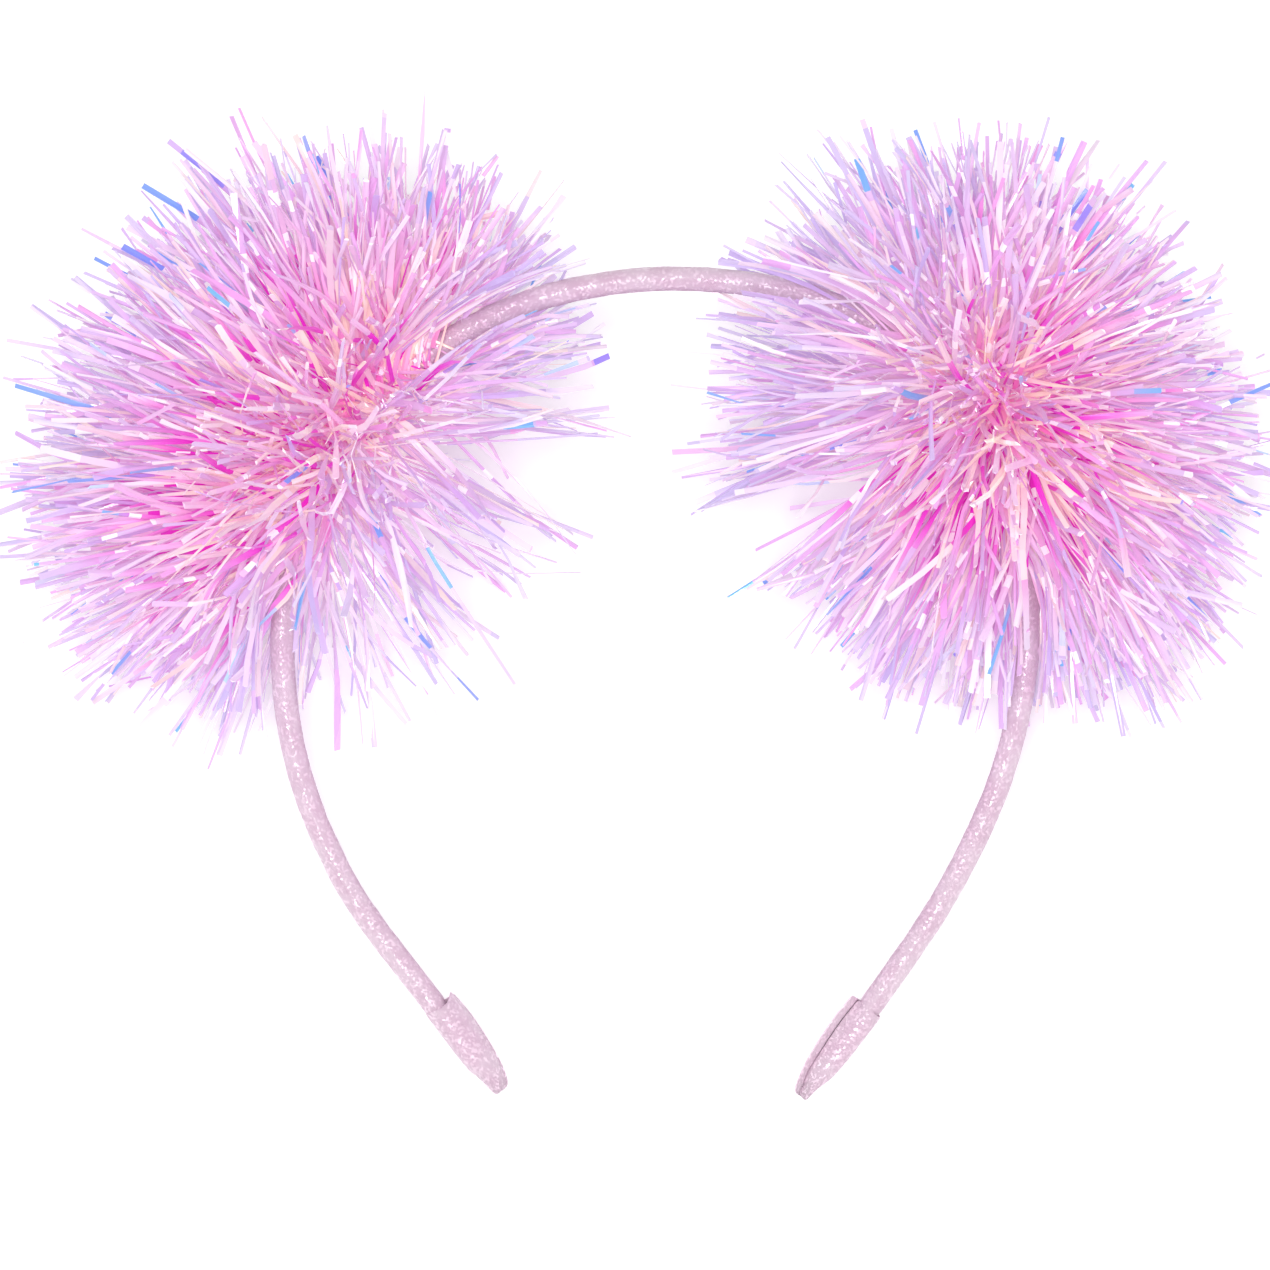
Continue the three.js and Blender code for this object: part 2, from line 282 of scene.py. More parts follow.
class Wire:
    """One output of a node, which Python's operators can do sums with."""

    def __init__(self, tree, socket=None):
        self.tree = tree
        self.socket = socket

    def node(self, kind, settings=None, inputs=None, output=0):
        """Adds a node, sets it up, fills its inputs, and gives one of its outputs."""
        added = self.tree.nodes.new(kind)
        for name, value in (settings or {}).items():
            if name == "stops":
                marks = added.color_ramp.elements
                marks.remove(marks[1])
                marks[0].position, marks[0].color = value[0]
                for place, colour in value[1:]:
                    marks.new(place).color = colour
            else:
                setattr(added, name, value)
        fill(added, inputs or {})
        return Wire(self.tree, added.outputs[output])

    def out(self, name):
        """Another output of the same node."""
        return Wire(self.tree, self.socket.node.outputs[name])

    def sum(self, operation, *values):
        """A Math node on these values."""
        return self.node("ShaderNodeMath", {"operation": operation}, dict(enumerate(values)))

    def __add__(self, other):
        return self.sum("ADD", self, other)

    __radd__ = __add__

    def __sub__(self, other):
        return self.sum("SUBTRACT", self, other)

    def __rsub__(self, other):
        return self.sum("SUBTRACT", other, self)

    def __mul__(self, other):
        return self.sum("MULTIPLY", self, other)

    __rmul__ = __mul__

    def __truediv__(self, other):
        return self.sum("DIVIDE", self, other)

    def __lt__(self, other):
        return self.sum("LESS_THAN", self, other)

    def __gt__(self, other):
        return self.sum("GREATER_THAN", self, other)


# %% Vectors, colours and soft steps
def arrow_sum(operation, first, second):
    """Vector Math on two vectors, of which the first is a wire."""
    return first.node("ShaderNodeVectorMath", {"operation": operation}, {0: first, 1: second})


def plus(first, second):
    return arrow_sum("ADD", first, second)


def minus(first, second):
    return arrow_sum("SUBTRACT", first, second)


def dot(first, second):
    return arrow_sum("DOT_PRODUCT", first, second).out("Value")


def cross(first, second):
    return arrow_sum("CROSS_PRODUCT", first, second)


def scaled(arrow, factor):
    return arrow.node("ShaderNodeVectorMath", {"operation": "SCALE"}, {0: arrow, "Scale": factor})


def unit(arrow):
    return arrow.node("ShaderNodeVectorMath", {"operation": "NORMALIZE"}, {0: arrow})


def between(start, end, share):
    """A vector part of the way from one to another."""
    inputs = {0: share, 4: start, 5: end}
    return share.node("ShaderNodeMix", {"data_type": "VECTOR"}, inputs, output=1)


def mixed(first, second, share):
    """A colour part of the way from one to another."""
    inputs = {0: share, 6: first, 7: second}
    return share.node("ShaderNodeMix", {"data_type": "RGBA"}, inputs, output=2)


def soft_step(value, low, high):
    """0 below low, 1 above high, and smooth between."""
    inputs = {"Value": value, "From Min": low, "From Max": high}
    return value.node("ShaderNodeMapRange", {"interpolation_type": "SMOOTHSTEP"}, inputs)


def joined(x, y, z=0.0):
    """A vector from three numbers, of which x is a wire."""
    return x.node("ShaderNodeCombineXYZ", inputs={0: x, 1: y, 2: z})


def parts_of(arrow):
    """The X part of a vector, on a node that also has Y and Z."""
    return arrow.node("ShaderNodeSeparateXYZ", inputs={0: arrow})


def paint(code):
    """A colour from its hex code, as the linear values that a shader takes."""
    values = [int(code[i:i + 2], 16) / 255 for i in (1, 3, 5)]
    linear = [v / 12.92 if v <= 0.04045 else ((v + 0.055) / 1.055) ** 2.4 for v in values]
    return (*linear, 1.0)


def ramp(value, codes):
    """A colour from a ramp, given as a hex code for each place on it."""
    stops = [(place, paint(code)) for place, code in codes.items()]
    return value.node("ShaderNodeValToRGB", {"stops": stops}, {0: value})


# %% Starting and ending a geometry tree
def new_tree(name, labels):
    """A geometry tree with named inputs, given by kind, as the wires that bring them in."""
    tree = bpy.data.node_groups.new(name, "GeometryNodeTree")
    tree.interface.new_socket("Geometry", in_out="OUTPUT", socket_type="NodeSocketGeometry")
    tree.interface.new_socket("Geometry", in_out="INPUT", socket_type="NodeSocketGeometry")
    for kind, own_labels in labels.items():
        for label in own_labels:
            tree.interface.new_socket(label, in_out="INPUT", socket_type="NodeSocket" + kind)
    entry = tree.nodes.new("NodeGroupInput")
    return {socket.name: Wire(tree, socket) for socket in entry.outputs if socket.name}


def end_tree(geometry, finish):
    """Makes instances real, because an export drops them, and sets the material."""
    real = geometry.node("GeometryNodeRealizeInstances", inputs={"Geometry": geometry})
    dressed = real.node("GeometryNodeSetMaterial", inputs={"Geometry": real, "Material": finish})
    last = dressed.tree.nodes.new("NodeGroupOutput")
    dressed.tree.links.new(dressed.socket, last.inputs["Geometry"])
    return dressed.tree


def stored(geometry, name, value, kind="FLOAT", domain="POINT"):
    """The geometry with one more named attribute."""
    settings = {"data_type": kind, "domain": domain}
    inputs = {"Geometry": geometry, "Name": name, "Value": value}
    return geometry.node("GeometryNodeStoreNamedAttribute", settings, inputs)


def kept(geometry, name, kind="FLOAT"):
    """A named attribute, read back."""
    return geometry.node("GeometryNodeInputNamedAttribute", {"data_type": kind}, {"Name": name})


def moved(geometry, how, value):
    """The geometry with its points moved, by an Offset or to a Position."""
    return geometry.node("GeometryNodeSetPosition", inputs={"Geometry": geometry, how: value})


# %% From a tree to a plain mesh
def line_object(name, points):
    """A bare line of edges for a tree to work on."""
    mesh = bpy.data.meshes.new(name)
    mesh.from_pydata(points, [(i, i + 1) for i in range(len(points) - 1)], [])
    return shown(name, mesh)


def plain_mesh(name, maker):
    """A maker object's finished shape as a plain mesh object at the origin."""
    graph = bpy.context.evaluated_depsgraph_get()
    mesh = bpy.data.meshes.new_from_object(maker.evaluated_get(graph))
    mesh.name = name
    bpy.data.objects.remove(maker)
    mesh.calc_loop_triangles()
    print(name, "has", len(mesh.loop_triangles), "triangles")
    return shown(name, mesh)


def grown(name, maker, tree, values):
    """Runs a tree on a maker object with these inputs, and keeps the result."""
    modifier = maker.modifiers.new(tree.name, "NODES")
    modifier.node_group = tree
    for item in tree.interface.items_tree:
        if item.in_out == "INPUT" and item.name in values:
            modifier[item.identifier] = values[item.name]
    return plain_mesh(name, maker)


# %% [markdown]
# The cloth is a pale pink weave with bright thread in it. From a hand's distance it reads as a soft
# pink with a broken line of white specks along its crest, and a mauve shade at its edges. Metal
# flakes would look grey wherever they miss a lamp, so the specks are gloss instead: some cells of a
# Voronoi pattern are smooth, tipped a little and clear-coated, and shine only where they face a
# lamp. Between them a fine bump is the weave. Both patterns read a map that is measured in
# millimetres, so they have one scale on every piece. Along the inside of the arch the band's
# underside is in shadow, and a darker mauve there is painted shade in the cloth's colour. The map
# tells the shader where that is.

# %% The shimmer cloth
# The last colour is a painted shade: a darker mauve for the shadow along the inside of the arch.
CLOTH_COLOUR = {"plain": "#E0BDD4", "pale": "#E7CCDE", "flake": "#F4DFEC", "inner_edge_shade": "#BE8FB0"}
PATCHES_PER_MM = 0.18
PALE_FROM_TO = (0.3, 0.7)
FLAKES_PER_MM = 2.8
FLAKE_FROM_TO = (0.66, 0.8)
FLAKE_TINT = 0.2
# How strong the painted shade along the inside of the arch is, and how far it is from its middle to its
# edge, in millimetres.
INNER_SHADE_STRENGTH = 0.75
INNER_SHADE_FROM_TO = (0.3, 1.9)
BAND_ROUND = 2 * math.pi * math.sqrt(BAND_HALF_RADIAL * BAND_HALF_DEPTH)

shimmer_cloth = bpy.data.materials.new("shimmer_cloth")
shimmer_cloth.use_nodes = True
cloth_face = shimmer_cloth.node_tree.nodes["Principled BSDF"]
cloth = Wire(shimmer_cloth.node_tree)
cloth_map = cloth.node("ShaderNodeUVMap", {"uv_map": "cloth"})

flake_inputs = {"Vector": cloth_map, "Scale": FLAKES_PER_MM}
flakes = cloth.node("ShaderNodeTexVoronoi", {"voronoi_dimensions": "2D"}, flake_inputs, "Color")
flake_chance = parts_of(flakes)
bright_flake = soft_step(flake_chance, *FLAKE_FROM_TO)
patch_inputs = {"Vector": cloth_map, "Scale": PATCHES_PER_MM, "Detail": 3.0}
patches = cloth.node("ShaderNodeTexNoise", {"noise_dimensions": "2D"}, patch_inputs)
plain, pale, flake, inner_edge_shade = (paint(code) for code in CLOTH_COLOUR.values())
cloth_colour = mixed(plain, pale, soft_step(patches, *PALE_FROM_TO))
cloth_colour = mixed(cloth_colour, flake, bright_flake * FLAKE_TINT)
# Painted shade along the inside of the arch, a quarter of the way round the band's map.
map_across = parts_of(cloth_map)
from_inner_shade = map_across.sum("ABSOLUTE", map_across - BAND_ROUND / 4)
clear_of_inner_shade = soft_step(from_inner_shade, *INNER_SHADE_FROM_TO)
unshaded_share = 1 - INNER_SHADE_STRENGTH + INNER_SHADE_STRENGTH * clear_of_inner_shade
cloth_colour = mixed(inner_edge_shade, cloth_colour, unshaded_share)

# %% The weave and the flakes of the cloth
FLAKE_TIP = 0.26
THREADS_PER_MM = 3.0
WEAVE_HEIGHT = 0.00006
CLOTH_ROUGHNESS = 0.5
FLAKE_POLISH = 0.2
CLOTH_COAT = 0.12
FLAKE_COAT = 0.5

straight = cloth.node("ShaderNodeNewGeometry", output="Normal")
tipped = scaled(minus(flakes, (0.5, 0.5, 0.5)), FLAKE_TIP)
flake_normal = unit(plus(straight, tipped))
threads = scaled(cloth_map, THREADS_PER_MM * 2 * math.pi)
thread_parts = parts_of(threads)
warp = thread_parts.sum("SINE", thread_parts.out("X"))
weft = thread_parts.sum("SINE", thread_parts.out("Y"))
weave_height = warp * weft * (1 - bright_flake)
weave_inputs = {"Distance": WEAVE_HEIGHT, "Height": weave_height, "Normal": flake_normal}
weave = cloth.node("ShaderNodeBump", inputs=weave_inputs)
cloth_looks = {
    "Base Color": cloth_colour,
    "Normal": weave,
    "Roughness": CLOTH_ROUGHNESS - bright_flake * FLAKE_POLISH,
    "Coat Weight": CLOTH_COAT + bright_flake * FLAKE_COAT,
    "Coat Roughness": 0.42,
    "Coat IOR": 1.8,
    "Specular IOR Level": 1.0,
    "Sheen Weight": 0.05,
}
fill(cloth_face, cloth_looks)
print("nodes in the cloth:", len(shimmer_cloth.node_tree.nodes))

# %% [markdown]
# The band is a bendy core with the cloth wound round it, so it is one oval bar along the arch. A
# tree sweeps an oval profile along the line with Curve to Mesh. The cloth isn't perfectly even,
# so a slow noise moves its surface by a tenth of a millimetre. Towards each end the bar thins, so
# that it goes into the mouth of its sleeve.

# %% The tree of the band
# Shares of the band's full thickness at its very end and just inside the mouth of a sleeve, and
# where it changes, as shares of the way from its end to the mouth.
THICK_AT_END = 0.5
THICK_IN_MOUTH = 0.91
THINS_FROM_TO = (0.4, 0.8)
MOUTH_FROM_TO = (0.96, 1.02)
BAND_INPUTS = {
    "Float": ["Half radial", "Half depth", "Mouth share", "Length in mm", "Round in mm", "Unevenness"],
    "Int": ["Sides"],
    "Vector": ["Facing"],
    "Material": ["Finish"],
}
given = new_tree("wrapped band", BAND_INPUTS)
path = given["Geometry"].node("GeometryNodeMeshToCurve", inputs={"Mesh": given["Geometry"]})
upright = {"Curve": path, "Normal": given["Facing"]}
path = path.node("GeometryNodeSetCurveNormal", {"mode": "FREE"}, upright)
share = path.node("GeometryNodeSplineParameter")
path = stored(path, "share", share)
mouth = given["Mouth share"]
from_end = share.sum("MINIMUM", share, 1 - share)
in_sleeve = soft_step(from_end, *[mouth * part for part in THINS_FROM_TO])
in_mouth = soft_step(from_end, *[mouth * part for part in MOUTH_FROM_TO])
thickness = THICK_AT_END + in_sleeve * (THICK_IN_MOUTH - THICK_AT_END)
thickness = thickness + in_mouth * (1 - THICK_IN_MOUTH)

circle = {"Resolution": given["Sides"], "Radius": 1.0}
ring = path.node("GeometryNodeCurvePrimitiveCircle", inputs=circle)
ring = stored(ring, "around", ring.node("GeometryNodeSplineParameter"))
oval = {"Geometry": ring, "Scale": joined(given["Half depth"], given["Half radial"], 1.0)}
ring = ring.node("GeometryNodeTransform", inputs=oval)
sweep = {"Curve": path, "Profile Curve": ring, "Scale": thickness, "Fill Caps": True}
bar = path.node("GeometryNodeCurveToMesh", inputs=sweep)

# %% The cloth's unevenness and its map on the band
LUMPS_TO_A_METRE = 260.0

lumps = bar.node("ShaderNodeTexNoise", inputs={"Scale": LUMPS_TO_A_METRE, "Detail": 2.0})
outside = bar.node("GeometryNodeInputNormal")
bar = moved(bar, "Offset", scaled(outside, (lumps - 0.5) * given["Unevenness"]))
bar = bar.node("GeometryNodeSetShadeSmooth", inputs={"Geometry": bar, "Shade Smooth": True})

around = kept(bar, "around")
face_around = around.node("GeometryNodeFieldOnDomain", {"domain": "FACE"}, {"Value": around})
on_last_face = around.sum("ABSOLUTE", around - face_around) > 0.25
unrolled = around + on_last_face * (around < 0.5)
down_band = kept(bar, "share") * given["Length in mm"]
cloth_place = joined(unrolled * given["Round in mm"], down_band)
bar = stored(bar, "cloth", cloth_place, "FLOAT2", "CORNER")
band_tree = end_tree(bar, given["Finish"])

# %% Grow the band
band_line = line_object("band_line", [to_table(point) for point in arch_line])
band_values = {
    "Half radial": BAND_HALF_RADIAL * MM,
    "Half depth": BAND_HALF_DEPTH * MM,
    "Sides": 28,
    "Facing": facing,
    "Mouth share": TONGUE_LENGTH / arch_length,
    "Length in mm": arch_length,
    "Round in mm": BAND_ROUND,
    "Unevenness": 0.0003,
    "Finish": shimmer_cloth,
}
band = grown("band_cloth", band_line, band_tree, band_values)
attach(band, "root")
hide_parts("band")

# %% [markdown]
# A sleeve is one small piece of the same cloth. It is folded round the end of the band, with the
# fold at the outer edge, and its two layers are closed by a seam along the inner edge. A solid
# lump would hide that, so here it is a sheet: a few rows of points from the mouth to the end, each
# running from one edge of the cloth round the fold to the other. Solidify gives the sheet its
# thickness and Subdivision Surface its softness. The right sleeve is turned about its leg, so its
# seam shows from above, and there the layer behind stands out past the one in front.

# %% The shape of a sleeve
CLOTH_THICKNESS = 0.32
# "along" is a share of the sleeve's length from its mouth. "inner" and "outer" are how far it
# reaches to its seam and to its fold, and "half" is half its depth, all in millimetres.
SLEEVE_STATIONS = [
    {"along": 0.0, "inner": 3.75, "outer": 2.2, "half": 2.9},
    {"along": 0.03, "inner": 3.8, "outer": 2.2, "half": 2.88},
    {"along": 0.14, "inner": 4.0, "outer": 2.2, "half": 2.8},
    {"along": 0.3, "inner": 4.1, "outer": 2.2, "half": 2.7},
    {"along": 0.54, "inner": 3.8, "outer": 2.15, "half": 2.5},
    {"along": 0.7, "inner": 3.45, "outer": 1.95, "half": 2.15},
    {"along": 0.75, "inner": 3.3, "outer": 1.55, "half": 2.0},
    {"along": 0.81, "inner": 3.1, "outer": 1.3, "half": 1.75},
    {"along": 0.85, "inner": 2.95, "outer": 1.2, "half": 1.0},
    {"along": 0.95, "inner": 2.4, "outer": 1.0, "half": 0.85},
    {"along": 0.99, "inner": 1.9, "outer": 0.85, "half": 0.75},
    {"along": 1.0, "inner": 1.5, "outer": 0.7, "half": 0.5},
]
# One layer of the cloth from the fold towards the seam: "across" is a share of the width, and
# "depth" a share of the half depth.
SLEEVE_LAYER = [
    {"across": 0.0, "depth": 0.0},
    {"across": 0.05, "depth": 0.5},
    {"across": 0.17, "depth": 0.86},
    {"across": 0.35, "depth": 1.0},
    {"across": 0.6, "depth": 0.88},
]
# The rest of the lower layer. On the left the two edges are pressed together. On the right the
# upper layer stops short, and the lower one comes up past its edge as a lip. Either way the edge of
# the upper layer lies on the lower one, with a fine slit between them.
PRESSED = [{"across": 0.82, "depth": 0.55}, {"across": 1.0, "depth": 0.15}]
LIP = [
    {"across": 0.68, "depth": 0.55},
    {"across": 0.76, "depth": 0.3},
    {"across": 0.88, "depth": 0.24},
    {"across": 1.0, "depth": 0.28},
]
# "dips" is how far the mouth of the upper layer is drawn down, from the fold to the seam. The left
# sleeve gapes by its seam, where the layers stand apart and the corner of the upper one is pulled up.
SLEEVES = {
    "left": {"twist": -6.0, "lower": PRESSED, "short": 0.2, "dips": [0.0, 0.1, 0.5, 0.8, -0.8]},
    "right": {"twist": 30.0, "lower": LIP, "short": 1.55, "dips": [0.0, 0.2, 0.3, 0.2, 0.0]},
}
UPPER_EDGE = [{"across": 0.82, "depth": 0.5}, {"across": 1.0, "depth": 0.0}]
SEAM_SLIT = -0.14
MOUTH_DIPS_TO = 0.14
# Where a sleeve starts on the cloth's map, clear of the band's own place there.
SLEEVE_MAP_START = 40.0


# %% Make the sleeves
def sleeve_frame(side):
    """The middle of a sleeve's mouth, and the ways along it, to its seam and through it."""
    distance = TONGUE_LENGTH if side == "left" else arch_length - TONGUE_LENGTH
    mouth_middle, along = on_arch(distance)
    out_of_arch = Vector((-along.y, along.x, 0))
    onwards = -along if side == "left" else along
    twist = math.radians(SLEEVES[side]["twist"])
    to_seam = Vector((0, 0, math.sin(twist))) - out_of_arch * math.cos(twist)
    return mouth_middle, onwards, to_seam, onwards.cross(to_seam)


def sleeve_section(station, side):
    """One row of the sheet, from the lower edge round the fold to the upper one."""
    facts = SLEEVES[side]
    depth = station["half"] - CLOTH_THICKNESS / 2
    fold = CLOTH_THICKNESS / 2 - station["outer"]
    width = station["inner"] - fold
    lower_stops = SLEEVE_LAYER + facts["lower"]
    lower = [(fold + stop["across"] * width, -stop["depth"] * depth) for stop in lower_stops]
    width -= facts["short"]
    upper_stops = SLEEVE_LAYER[1:] + UPPER_EDGE
    upper = [(fold + stop["across"] * width, stop["depth"] * depth) for stop in upper_stops]
    edge = upper[-1][0]
    under_edge = float(np.interp(edge, *zip(*lower)))
    upper[-1] = (edge, under_edge + CLOTH_THICKNESS + SEAM_SLIT)
    return lower[::-1] + upper, len(lower)


def sleeve_rows(side):
    """Rows of points over the whole sheet of a sleeve."""
    mouth_middle, onwards, to_seam, through = sleeve_frame(side)
    if through.z < 0:
        through = -through
    dips = SLEEVES[side]["dips"]
    rows = []
    for station in SLEEVE_STATIONS:
        section, upper_start = sleeve_section(station, side)
        near_mouth = max(0, 1 - station["along"] / MOUTH_DIPS_TO)
        row = []
        for column, (x, y) in enumerate(section):
            down = station["along"] * SLEEVE_LENGTH[side]
            upper_share = max(0, column - upper_start + 1) / (len(section) - upper_start)
            down += near_mouth * float(np.interp(upper_share, np.linspace(0, 1, len(dips)), dips))
            place = to_table(mouth_middle + onwards * down + to_seam * x + through * y)
            place.z = max(place.z, CLOTH_THICKNESS / 2 * MM)
            row.append(place)
        rows.append(row)
    return rows


def sheet_object(name, rows):
    """A sheet through rows of points, with its own map of the flat cloth in millimetres."""
    count = len(rows[0])
    mesh = bpy.data.meshes.new(name)
    faces = [
        (r * count + c, r * count + c + 1, (r + 1) * count + c + 1, (r + 1) * count + c)
        for r in range(len(rows) - 1)
        for c in range(count - 1)
    ]
    mesh.from_pydata([place for row in rows for place in row], [], faces)
    across = [SLEEVE_MAP_START]
    for a, b in zip(rows[2], rows[2][1:]):
        across.append(across[-1] + (b - a).length / MM)
    down = [0.0]
    for a, b in zip(rows, rows[1:]):
        down.append(down[-1] + (b[0] - a[0]).length / MM)
    flat = mesh.uv_layers.new(name="cloth")
    for loop in mesh.loops:
        row, column = divmod(loop.vertex_index, count)
        flat.data[loop.index].uv = (across[column], down[row])
    for face in mesh.polygons:
        face.use_smooth = True
    mesh.materials.append(shimmer_cloth)
    return shown(name, mesh)


for side in ("left", "right"):
    rows = sleeve_rows(side)
    folded = sheet_object("sleeve_sheet", rows)
    cut_width = max(sum((b - a).length for a, b in zip(row, row[1:])) for row in rows)
    cut_length = SLEEVE_LENGTH[side] * MM
    cut_area = sum(face.area for face in folded.data.polygons)
    print(side, "sleeve's cut in millimetres:", round(cut_width / MM, 1), "x", round(cut_length / MM, 1))
    print("and its area in square millimetres:", round(cut_area / MM ** 2, 1))
    wall = folded.modifiers.new("thickness", "SOLIDIFY")
    wall.thickness = CLOTH_THICKNESS * MM
    wall.offset = 0.0
    soft = folded.modifiers.new("softness", "SUBSURF")
    soft.levels = 3
    soft.render_levels = 3
    sleeve = plain_mesh("sleeve_cloth_" + side, folded)
    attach(sleeve, "root")
    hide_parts("sleeve_" + side)

# %% [markdown]
# The film of the pompoms is clear, but a thin layer on it splits the light. A strip looks pink or
# lilac, with blue, violet, magenta or cream where it is turned another way. Deep in the ball the
# colour builds up to a hot pink, and at the rim single strips are nearly white. A true thin film
# would need a very exact light, so these colours of light are painted along each strip instead,
# and they don't change with the view: a ramp from the tie to the tip paints the build-up in depth,
# each strip has a tint of its own, and short lengths of accent colour are painted reflections,
# painted glints and a deeper pink. Light also passes through the film from strip to strip, which
# keeps the middle of a pompom bright. Tracing that would take very long, so a faint glow in the
# film's own colour stands in for it.

# %% The colours of the film
# About how many times along a strip the tint, the cool accent and the painted glints can change.
TINT_PLACES = 2.7
COOL_PLACES = 6.0
GLINT_PLACES = 18.0

tinsel_film = bpy.data.materials.new("tinsel_film")
tinsel_film.use_nodes = True
film_face = tinsel_film.node_tree.nodes["Principled BSDF"]
film = Wire(tinsel_film.node_tree)
reach, along, cell, tuft, thin = (
    film.node("ShaderNodeAttribute", {"attribute_name": name}, output="Fac")
    for name in ("reach", "along", "cell", "tuft", "thin")
)
strip = cell.sum("ROUND", cell)


def three_chances(place, dimensions):
    """Three numbers from 0 to 1 that change from one whole-numbered place to the next."""
    settings = {"noise_dimensions": dimensions}
    noise = place.node("ShaderNodeTexWhiteNoise", settings, {"Vector": place}, "Color")
    parts = parts_of(noise)
    return parts.out("X"), parts.out("Y"), parts.out("Z")


def piece_chances(salt, pieces, offset):
    """Chances that change at about this many places along a strip."""
    piece = along.sum("FLOOR", along * pieces + offset)
    return three_chances(joined(strip, piece, salt), "3D")


# The same all along a strip.
place_chance, tint_chance, offset = three_chances(joined(strip, 1.0), "2D")
cool_tint_chance, cool_strip, hot_strip = three_chances(joined(strip, 2.0), "2D")
pale_strip = three_chances(joined(strip, 3.0), "2D")[0]
# Changing along it.
tint_piece, hot_piece, pale_piece = piece_chances(4.0, TINT_PLACES, offset)
cool_piece = piece_chances(5.0, COOL_PLACES, offset)[0]
painted_glint_piece = piece_chances(6.0, GLINT_PLACES, offset)[0]

# A painted ramp: from hot pink at the tie, the painted build-up of colour deep in the ball, to pale
# lilac at the rim.
CORE_TO_RIM = {0.0: "#EE62BE", 0.18: "#EE96D0", 0.4: "#E7B6DE", 0.68: "#D8B4DE", 1.0: "#C6BAE2"}
CORE_SPREAD = 0.35
place_in_ball = reach + (place_chance - 0.5) * CORE_SPREAD
film_colour = ramp(place_in_ball, CORE_TO_RIM)

OWN_TINTS = {
    0.0: "#F09ADA",
    0.2: "#E4A4E4",
    0.38: "#C0B0E6",
    0.52: "#F2DFEC",
    0.7: "#FFE8CC",
    0.84: "#FBF8FA",
    1.0: "#F6B9E0",
}
LEAST_TINT = 0.05
MORE_TINT = 0.7
film_colour = mixed(film_colour, ramp(tint_chance, OWN_TINTS), LEAST_TINT + tint_piece * MORE_TINT)

# %% Short lengths of accent colour
# Each accent is painted light on a share of the lengths of a share of the strips: the cool one is a
# painted reflection colour, the hot one painted depth of colour near the tie, and the pale one
# painted cream light and white highlights. There is more of the hot one in tufts, and more of the
# pale one in the thin part.
COOL_LENGTHS, COOL_STRIPS = 0.13, 0.15
HOT_LENGTHS, HOT_STRIPS, HOT_IN_TUFTS = 0.42, 0.15, 0.65
HOT_TUFTS_FROM_TO = (0.4, 0.8)
PALE_LENGTHS, PALE_STRIPS = 0.3, 0.5
THIN_PALE_LENGTHS, THIN_PALE_STRIPS = 0.15, 0.3
PALE_STRENGTH, PALE_FADES = 0.85, 0.5
GLINT_LENGTHS, GLINT_STRENGTH = 0.05, 0.9
COOL_TINTS = {0.0: "#8090EE", 0.45: "#7AAAEE", 0.75: "#74C0EA", 1.0: "#9A84EC"}
HOT_TINT, CREAM_TINT, PALE_TINT, PAINTED_GLINT_TINT = map(paint, ("#E426C8", "#FFF0D8", "#FCFAFF", "#FFFFFF"))
# Where each comes in or fades on the way out from the tie.
COOL_FROM_TO, HOT_FADES_FROM_TO = (0.3, 0.75), (0.35, 0.8)
CREAM_FROM_TO, PALE_FADES_FROM_TO = (0.35, 0.75), (0.5, 0.95)
GLINT_FADES_FROM_TO = (0.6, 0.95)

cool = ramp(cool_tint_chance, COOL_TINTS)
cool_length = (cool_piece < COOL_LENGTHS) * (cool_strip < COOL_STRIPS)
film_colour = mixed(film_colour, cool, cool_length * soft_step(reach, *COOL_FROM_TO))

hot_strips = HOT_STRIPS + HOT_IN_TUFTS * soft_step(tuft, *HOT_TUFTS_FROM_TO)
hot_length = (hot_piece < HOT_LENGTHS - HOT_LENGTHS * thin) * (hot_strip < hot_strips)
near_tie = 1 - soft_step(reach, *HOT_FADES_FROM_TO)
film_colour = mixed(film_colour, HOT_TINT, hot_length * near_tie)

pale_piece = pale_piece < PALE_LENGTHS + THIN_PALE_LENGTHS * thin
pale_length = pale_piece * (pale_strip < PALE_STRIPS + THIN_PALE_STRIPS * thin)
pale = mixed(CREAM_TINT, PALE_TINT, soft_step(reach, *CREAM_FROM_TO))
pale_strength = PALE_STRENGTH - PALE_FADES * soft_step(reach, *PALE_FADES_FROM_TO)
film_colour = mixed(film_colour, pale, pale_length * pale_strength)

# Painted glints: short lengths painted white, which glow with the film.
glint_fades = soft_step(reach, *GLINT_FADES_FROM_TO)
painted_glint = painted_glint_piece < GLINT_LENGTHS - GLINT_LENGTHS * glint_fades
film_colour = mixed(film_colour, PAINTED_GLINT_TINT, painted_glint * GLINT_STRENGTH)

# %% The shine of the film
# The glow in the film's own colour is painted light, and the painted glints glow with it.
film_looks = {
    "Base Color": film_colour,
    "Emission Color": film_colour,
    "Emission Strength": 0.16,
    "Metallic": 0.1,
    "Roughness": 0.3,
    "Coat Weight": 0.5,
    "Coat Roughness": 0.07,
}
fill(film_face, film_looks)
tinsel_film.cycles.emission_sampling = "NONE"
print("nodes in the film:", len(tinsel_film.node_tree.nodes))

# %% [markdown]
# A pompom is a bundle of film strips, tied round the band at their middles and cut to a ball. The
# tree starts from that ball: points are scattered over it, and each is the tip of one strip. The
# strip's root is on the tied stretch of the band, further along it for tips that lie further that
# way. A straight line from root to tip is then bowed, crinkled, kept above the table and pushed
# clear of the band, and a flat triangle is swept along it, which is a film with a crease.
#
# Real strips aren't spread evenly. Film clings to film, so neighbouring tips lean together into
# tufts, here towards the cells of a Voronoi pattern. Each pompom has one open gap, one thin part and
# one part with more of the hot pink, and its strips part in front of the band where the photograph
# shows the cloth between them. On the right they spread from a little outside the band. A hair system
# would give even strands more quickly, but none of these habits.

